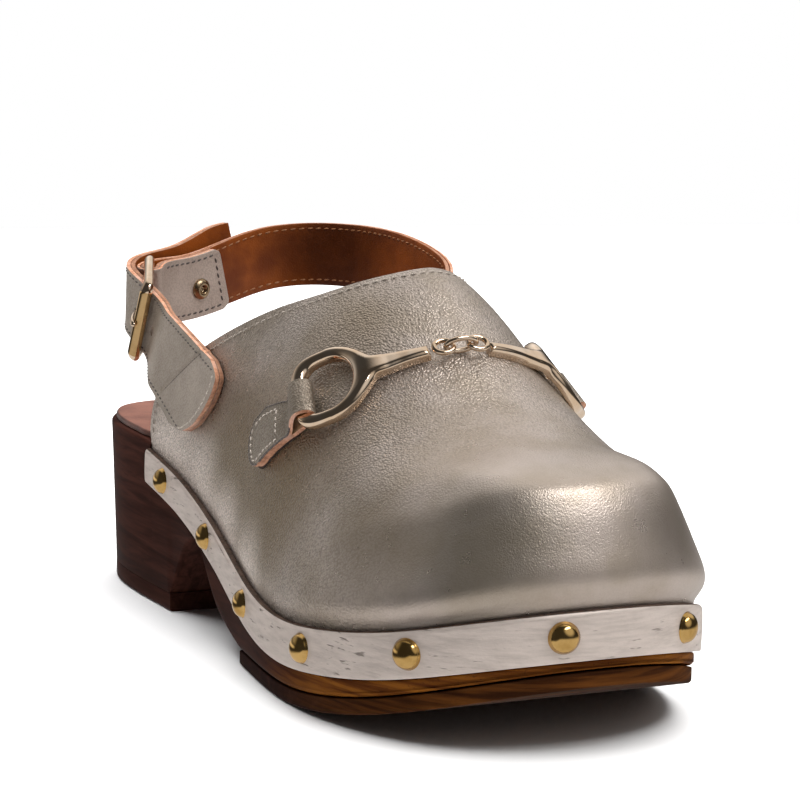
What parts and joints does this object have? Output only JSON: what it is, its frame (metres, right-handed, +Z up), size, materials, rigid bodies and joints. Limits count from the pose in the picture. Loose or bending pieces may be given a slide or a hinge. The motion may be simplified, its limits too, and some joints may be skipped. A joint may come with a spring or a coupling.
{
  "type": "slingback clog",
  "caption": "Right slingback clog: thick wooden sole with heel, closed metallic leather upper, studded rand, buckled heel strap and a bit ornament across the vamp.",
  "frame": {"origin": "floor level, middle of the shoe's bounding box in plan", "axes": "+Z up, +Y towards the heel, +X towards the wearer's inner (medial) side; the toe points to -Y"},
  "size_m": [0.1017, 0.2536, 0.1074],
  "materials": {
    "wood": "dark stained, semi-gloss varnish",
    "tread_rubber": "dark matte rubber",
    "insole_leather": "smooth reddish brown lining leather",
    "upper_leather": "champagne metallic foil on fine pebble grain",
    "rand_leather": "metallic foil, paler and more matte, scratched",
    "strap_leather": "saddle brown lining, metallic outside",
    "stud_brass": "polished domes",
    "pale_gold": "mirror-polished pale gold plating"
  },
  "bodies": {
    "root": {"wooden_sole": "wood", "forefoot_tread": "tread_rubber", "heel_tip": "tread_rubber", "insole": "insole_leather", "upper": "upper_leather", "rand": "rand_leather", "sling_strap": "strap_leather", "strap_tab": "upper_leather", "buckle_frame": "pale_gold", "buckle_prong": "pale_gold", "strap_rivet": "stud_brass", "bit_lateral": "pale_gold", "bit_medial": "pale_gold", "bit_link_1": "pale_gold", "bit_link_2": "pale_gold", "bit_link_3": "pale_gold", "bit_tab_lateral": "upper_leather", "bit_tab_medial": "upper_leather", "stud_01": "stud_brass", "stud_02": "stud_brass", "stud_03": "stud_brass", "stud_04": "stud_brass", "stud_05": "stud_brass", "stud_06": "stud_brass", "stud_07": "stud_brass", "stud_08": "stud_brass", "stud_09": "stud_brass", "stud_10": "stud_brass", "stud_11": "stud_brass", "stud_12": "stud_brass"}
  },
  "joints": []
}
